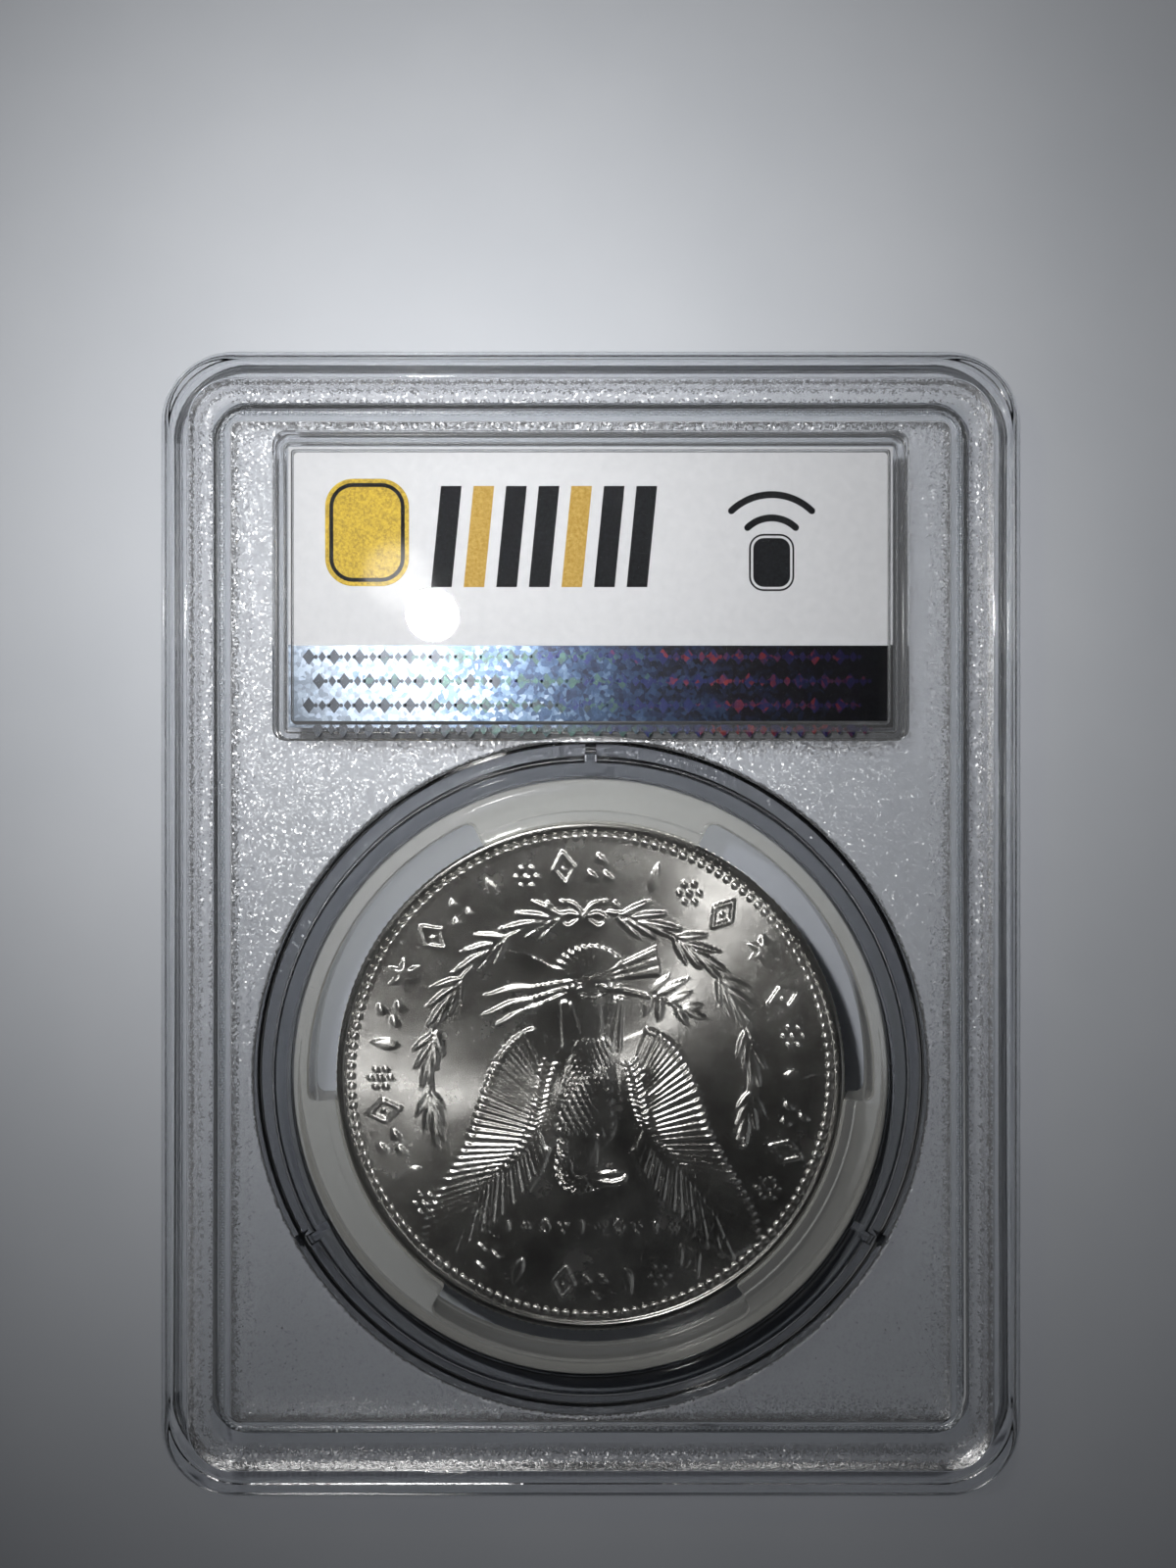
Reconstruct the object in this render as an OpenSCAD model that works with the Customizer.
// Graded coin slab: a welded clear holder with a coin in a pronged gasket and a printed label.
// It lies on its front rim. +Z comes out of the rear face, +Y points to the label end.

/* [Holder] */
// Width of the holder
holder_w = 62.8; // [60:0.1:76]
// Length of the holder, label end to coin end
holder_l = 83.6; // [82:0.1:102]
// Thickness over both stacking rims
holder_t = 8.0; // [7.6:0.1:10]
// Radius of the four corners seen from the front
corner_r = 5.4; // [4.6:0.1:8]
// Width of the flat stacking rim, from the outer edge
rim_w = 2.2; // [1.8:0.05:2.4]
// Height of the stacking rim above the window face
rim_rise = 1.1; // [0.8:0.05:1.3]
// Width of the textured slope between rim and window face
slope_w = 1.4; // [1:0.05:1.7]
// Radius of the rounded outer edge
edge_r = 0.8; // [0.4:0.05:1]
// Width of the solid flange, from the outer edge to the chamber
flange_w = 4.65; // [4.3:0.05:5.5]
// Thickness of the window plates
plate_t = 1.3; // [1:0.05:1.5]
// Radius of the chamber's corners
chamber_r = 0.4; // [0.2:0.05:1]
// Depth of the V groove along the parting line
seam_d = 0.15; // [0.05:0.01:0.25]

/* [Weld] */
// Distance of the weld line from the outer edge
weld_in = 3.6; // [3.5:0.05:3.7]
// Width of the weld bead
weld_w = 0.4; // [0.3:0.05:0.5]
// Depth of the weld groove in each shell
weld_d = 0.3; // [0.2:0.05:0.5]

/* [Coin] */
// Diameter of the coin
coin_d = 38.1; // [30:0.1:38.6]
// Thickness of the coin at its rim
coin_t = 2.4; // [1.8:0.05:2.6]
// Width of the coin's raised rim
coin_rim_w = 0.75; // [0.4:0.05:1]
// Depth of the coin's fields below its rim
coin_field_d = 0.25; // [0.1:0.01:0.35]
// Distance of the coin's centre below the holder's centre
coin_drop = 11.6; // [11.4:0.1:11.9]

/* [Gasket] */
// Outside diameter of the gasket
gasket_od = 44.4; // [43.4:0.1:45.4]
// Width of the gasket's ring between the prongs
gasket_band = 1.2; // [0.8:0.05:1.6]
// Angle that each of the three prongs spans
prong_angle = 50; // [30:1:80]
// Depth by which the prong's lips cover the coin's edge
lip_cover = 0.2; // [0.1:0.01:0.3]
// Radial gap between the coin's edge and the prong's channel
coin_gap = 0.05; // [0.02:0.01:0.15]
// Gap between the coin's faces and the prong's lips
lip_gap = 0.05; // [0.02:0.01:0.1]
// Width of the step in front of each prong's thick part
prong_step_w = 0.6; // [0.3:0.05:0.8]
// Depth of that step on each face
prong_step_d = 0.12; // [0.05:0.01:0.15]
// Chamfer round the ring's outer edges
gasket_chamfer = 0.3; // [0.1:0.05:0.5]

/* [Coin rings of the shells] */
// Gap between the gasket and the inner ring
gasket_gap = 0.1; // [0.05:0.01:0.2]
// Wall of the front shell's ring, which goes round the gasket
inner_ring_wall = 1.2; // [0.8:0.05:1.4]
// Wall of the rear shell's ring, which goes round the front shell's ring
outer_ring_wall = 1.3; // [0.8:0.05:1.4]
// Radial gap between the two rings
ring_gap = 0.2; // [0.1:0.01:0.3]
// Gap between a ring's end and the opposite window plate
ring_end_gap = 0.1; // [0.05:0.01:0.3]
// Width of the three keys that stop the shells from turning
key_w = 0.6; // [0.4:0.05:1]
// Gap on each side of a key
key_gap = 0.1; // [0.05:0.01:0.2]

/* [Label] */
// Width of the printed cards
card_w = 45.2; // [40:0.1:46]
// Height of the printed cards
card_h = 21.0; // [17:0.1:21.2]
// Thickness of each printed card
card_t = 0.3; // [0.2:0.01:0.4]
// Gap round the cards inside their frame
card_gap = 0.3; // [0.1:0.05:0.5]
// Wall of the label frame
frame_wall = 0.6; // [0.4:0.05:0.8]
// Distance from the coin ring to the label frame
frame_gap = 0.1; // [0.05:0.05:0.2]
// Radius of the label frame's corners
frame_r = 0.9; // [0.7:0.05:1.2]
// Width of the ledge that carries the cards' edges
ledge_w = 0.35; // [0.3:0.05:1]
// Gap between the card stack and the rear shell's ledge
ledge_gap = 0.06; // [0.02:0.01:0.1]
// Gap between the two label frames where the shells meet
frame_seam = 0.1; // [0.05:0.01:0.2]
// Height of the security strip along the rear card's foot
strip_h = 6.2; // [3:0.1:8]
// Thickness of the security strip
strip_t = 0.04; // [0.02:0.01:0.05]
// Width of the gold emblem
emblem_w = 6.3; // [4:0.1:8]
// Distance of the emblem's centre from the card's left edge
emblem_in = 5.8; // [4.5:0.1:8]
// Distance of the emblem's centre from the card's top edge
emblem_drop = 6.3; // [4.5:0.1:7.5]

/* [Radio tag] */
// Thickness of the antenna's carrier film
film_t = 0.1; // [0.05:0.01:0.15]
// Gap between the film and the card's edge
film_in = 1.0; // [0.5:0.1:2]
// Height of the glue gap between the film and the rear card
glue_gap = 0.12; // [0.1:0.01:0.2]
// Number of turns of the antenna
coil_turns = 6; // [3:1:8]
// Width of the antenna's track
track_w = 0.35; // [0.25:0.05:0.45]
// Pitch of the antenna's turns
track_pitch = 0.65; // [0.6:0.05:0.8]
// Thickness of the antenna's track
track_t = 0.05; // [0.03:0.01:0.08]
// Width of the antenna, outside
coil_w = 30; // [20:1:40]
// Height of the antenna, outside
coil_l = 14; // [12:1:15]
// Width of the gap where each turn steps in to the next
coil_step = 2.4; // [2:0.1:4]
// Width of the strap that brings the outer end back to the chip
strap_w = 0.5; // [0.3:0.05:0.8]
// Thickness of that strap
strap_t = 0.04; // [0.02:0.01:0.05]
// Length of the contact pads at the strap's ends
pad_l = 0.8; // [0.5:0.1:1]
// Side of the square chip
chip_w = 1.0; // [0.6:0.1:1.6]

/* [Hidden] */
$fn = 96;
tiny = 0.01;
mid_z = holder_t / 2;
face_z = holder_t - rim_rise;
roof_z = face_z - plate_t;
chamber_h = 2 * roof_z - holder_t;
chamber_w = holder_w - 2 * flange_w;
chamber_l = holder_l - 2 * flange_w;
slope_in = rim_w + slope_w;
coin_r = coin_d / 2;
coin_y = -coin_drop;
gasket_r = gasket_od / 2;
gasket_t = chamber_h - ring_end_gap;
gasket_z = holder_t - roof_z;
coin_z = gasket_z + (gasket_t - coin_t) / 2;
window_r = gasket_r - gasket_band;
channel_r = coin_r + coin_gap;
lip_r = coin_r - lip_cover;
inner_ring_r = gasket_r + gasket_gap;
inner_ring_or = inner_ring_r + inner_ring_wall;
outer_ring_r = inner_ring_or + ring_gap;
outer_ring_or = outer_ring_r + outer_ring_wall;
ring_l = chamber_h - ring_end_gap;
prong_angles = [90, 210, 330];
pocket_w = card_w + 2 * card_gap;
pocket_h = card_h + 2 * card_gap;
frame_w = pocket_w + 2 * frame_wall;
frame_h = pocket_h + 2 * frame_wall;
label_y = coin_y + outer_ring_or + frame_gap + frame_h / 2;
stack_t = 2 * card_t + film_t + glue_gap;
stack_z = mid_z - stack_t / 2;
film_z = stack_z + card_t;
track_z = film_z + film_t;
back_z = track_z + glue_gap;
stack_top = back_z + card_t;
coil_x = coil_w / 4;
coil_y = -coil_l / 2;
chip_y = coil_y + coil_turns * track_pitch;
strap_x = coil_x + chip_w;
strip_y = label_y - card_h / 2;
emblem_x = -card_w / 2 + emblem_in;
emblem_y = label_y + card_h / 2 - emblem_drop;

// A flat rectangle with round corners, centred.
module round_rect(w, l, r) {
    square([w - 2 * r, l], center = true);
    square([w, l - 2 * r], center = true);
    for (x = [-1, 1], y = [-1, 1])
        translate([x * (w / 2 - r), y * (l / 2 - r)]) circle(r);
}

// A round-cornered rectangle that follows the holder's outline at a distance inside it.
module inset_outline(inset) {
    round_rect(holder_w - 2 * inset, holder_l - 2 * inset, corner_r - inset);
}

// Sweeps a profile round the holder. The profile's x is the distance from a corner's centre.
module around_holder() {
    side_x = holder_w / 2 - corner_r;
    side_y = holder_l / 2 - corner_r;
    for (turn = [0, 180]) rotate([0, 0, turn]) {
        translate([side_x, side_y, 0]) rotate([90, 0, 0]) linear_extrude(2 * side_y) children();
        translate([-side_x, side_y, 0]) rotate([90, 0, 90]) linear_extrude(2 * side_x) children();
        translate([side_x, side_y, 0]) rotate_extrude(angle = 90) children();
        translate([-side_x, side_y, 0]) rotate([0, 0, 90]) rotate_extrude(angle = 90) children();
    }
}

// Section of one shell's edge: flat rim, rounded outside edge, slope down to the window face.
module edge_section() {
    difference() {
        polygon([[corner_r - slope_in, mid_z], [corner_r - seam_d, mid_z],
                 [corner_r, mid_z + seam_d], [corner_r, holder_t],
                 [corner_r - rim_w, holder_t], [corner_r - slope_in, face_z]]);
        translate([corner_r - edge_r, holder_t - edge_r]) difference() {
            square(edge_r + tiny);
            circle(edge_r);
        }
    }
}

// The upper shell's walls and window plate, without its ring and label frame.
module shell_body() {
    difference() {
        union() {
            around_holder() edge_section();
            translate([0, 0, mid_z]) linear_extrude(face_z - mid_z) inset_outline(slope_in - edge_r);
        }
        translate([0, 0, mid_z - tiny]) linear_extrude(roof_z - mid_z + tiny)
            round_rect(chamber_w, chamber_l, chamber_r);
        translate([0, 0, mid_z - tiny]) linear_extrude(weld_d + tiny) weld_outline();
    }
}

module weld_outline() {
    difference() {
        inset_outline(weld_in);
        inset_outline(weld_in + weld_w);
    }
}

// The same walls turned over for the shell below the parting plane.
module mirrored_shell_body() {
    translate([0, 0, holder_t]) mirror([0, 0, 1]) shell_body();
}

// Flat outline of a round wall.
module ring_outline(inner, outer) {
    difference() {
        circle(outer);
        circle(inner);
    }
}

// Flat outlines of three bars that cross the gap between the rings, one behind each prong.
module key_outlines(width) {
    start = inner_ring_or - inner_ring_wall / 2;
    end = outer_ring_r + outer_ring_wall / 2;
    for (a = prong_angles) rotate(a) translate([start, -width / 2]) square([end - start, width]);
}

// A wall round the label pocket with a ledge that narrows it for the cards' edges.
module label_wall(low, high, ledge_low, ledge_high) {
    translate([0, label_y, low]) linear_extrude(high - low) difference() {
        round_rect(frame_w, frame_h, frame_r);
        square([pocket_w, pocket_h], center = true);
    }
    translate([0, label_y, ledge_low]) linear_extrude(ledge_high - ledge_low) difference() {
        square([pocket_w + frame_wall, pocket_h + frame_wall], center = true);
        square([card_w - 2 * ledge_w, card_h - 2 * ledge_w], center = true);
    }
}

module front_shell() {
    color([0.80, 0.82, 0.84, 0.35]) {
        mirrored_shell_body();
        translate([0, coin_y, gasket_z - tiny]) linear_extrude(ring_l + tiny) {
            ring_outline(inner_ring_r, inner_ring_or);
            key_outlines(key_w);
        }
        label_wall(gasket_z - tiny, mid_z - frame_seam, gasket_z - tiny, stack_z);
    }
}

module rear_shell() {
    color([0.86, 0.88, 0.90, 0.35]) {
        shell_body();
        translate([0, coin_y, roof_z - ring_l]) linear_extrude(ring_l + tiny) difference() {
            ring_outline(outer_ring_r, outer_ring_or);
            key_outlines(key_w + 2 * key_gap);
        }
        label_wall(mid_z, roof_z + tiny, stack_top + strip_t + ledge_gap, roof_z + tiny);
    }
}

module weld_bead() {
    color([0.95, 0.96, 0.97]) translate([0, 0, mid_z - weld_d]) linear_extrude(2 * weld_d)
        weld_outline();
}

// Section of the gasket's plain ring, with its outer edges chamfered.
module band_section() {
    polygon([[window_r, 0], [gasket_r - gasket_chamfer, 0], [gasket_r, gasket_chamfer],
             [gasket_r, gasket_t - gasket_chamfer], [gasket_r - gasket_chamfer, gasket_t],
             [window_r, gasket_t]]);
}

// Section of a prong: a thick root, a step, and a channel that the coin's edge sits in.
module prong_section() {
    step_r = channel_r + prong_step_w;
    low = coin_z - gasket_z - lip_gap;
    difference() {
        union() {
            translate([step_r, 0]) square([window_r + tiny - step_r, gasket_t]);
            translate([lip_r, prong_step_d])
                square([step_r + tiny - lip_r, gasket_t - 2 * prong_step_d]);
        }
        translate([lip_r - tiny, low]) square([channel_r - lip_r + tiny, coin_t + 2 * lip_gap]);
    }
}

module coin_gasket() {
    color([0.93, 0.92, 0.88, 0.6]) translate([0, coin_y, gasket_z]) {
        rotate_extrude() band_section();
        for (a = prong_angles) rotate([0, 0, a - prong_angle / 2])
            rotate_extrude(angle = prong_angle) prong_section();
    }
}

module coin() {
    color([0.78, 0.78, 0.77]) translate([0, coin_y, coin_z]) difference() {
        cylinder(h = coin_t, r = coin_r);
        for (z = [-tiny, coin_t - coin_field_d])
            translate([0, 0, z]) cylinder(h = coin_field_d + tiny, r = coin_r - coin_rim_w);
    }
}

module card() {
    linear_extrude(card_t) square([card_w, card_h], center = true);
}

module label_front() {
    color([0.90, 0.92, 0.94]) translate([0, label_y, stack_z]) card();
}

module label_back() {
    color([0.95, 0.95, 0.96]) translate([0, label_y, back_z]) card();
}

module hologram_strip() {
    color([0.35, 0.42, 0.55]) translate([-card_w / 2, strip_y, stack_top])
        cube([card_w, strip_h, strip_t]);
}

// A plain round-sided tile, as a generic mark.
module foil_emblem() {
    color([0.90, 0.74, 0.28]) translate([emblem_x, emblem_y, stack_top])
        linear_extrude(strip_t) round_rect(emblem_w, emblem_w * 1.28, emblem_w / 3);
}

module antenna_film() {
    color([0.85, 0.88, 0.90, 0.5]) translate([0, label_y, film_z]) linear_extrude(film_t)
        square([card_w - 2 * film_in, card_h - 2 * film_in], center = true);
}

// Square turns, each open at the foot, where a slanted step leads to the next turn.
module antenna_coil() {
    color([0.80, 0.80, 0.82]) translate([0, label_y, track_z]) linear_extrude(track_t) {
        for (i = [0 : coil_turns - 1]) difference() {
            square([coil_w - 2 * i * track_pitch, coil_l - 2 * i * track_pitch], center = true);
            square([coil_w - 2 * i * track_pitch - 2 * track_w,
                    coil_l - 2 * i * track_pitch - 2 * track_w], center = true);
            translate([coil_x, coil_y]) square([coil_step, coil_l / 2]);
        }
        for (i = [0 : coil_turns - 2]) translate([coil_x, coil_y + i * track_pitch])
            polygon([[0, 0], [coil_step, track_pitch], [coil_step, track_pitch + track_w], [0, track_w]]);
        translate([coil_x - track_w, chip_y - track_pitch]) square([track_w, track_pitch + track_w]);
        translate([coil_x + coil_step, coil_y - pad_l]) square([strap_w, pad_l + track_w]);
    }
}

// Crosses over the turns in the glue gap, with a foot at the chip and one on the outer pad.
module antenna_strap() {
    reach = coil_step + strap_w - chip_w;
    color([0.74, 0.74, 0.76]) translate([strap_x, label_y, back_z - strap_t]) {
        linear_extrude(strap_t) {
            translate([0, coil_y - pad_l]) square([strap_w, chip_y - coil_y + 2 * pad_l]);
            translate([0, coil_y - pad_l]) square([reach, strap_w]);
        }
        translate([0, chip_y, track_z - back_z + strap_t])
            cube([strap_w, pad_l, glue_gap - strap_t]);
        translate([reach - strap_w, coil_y - pad_l, track_z + track_t - back_z + strap_t])
            cube([strap_w, strap_w, glue_gap - track_t - strap_t]);
    }
}

module tag_chip() {
    color([0.12, 0.12, 0.13]) translate([coil_x, label_y + chip_y, track_z])
        cube([chip_w, chip_w, glue_gap]);
}

front_shell();
rear_shell();
weld_bead();
coin_gasket();
coin();
label_front();
label_back();
hologram_strip();
foil_emblem();
antenna_film();
antenna_coil();
antenna_strap();
tag_chip();
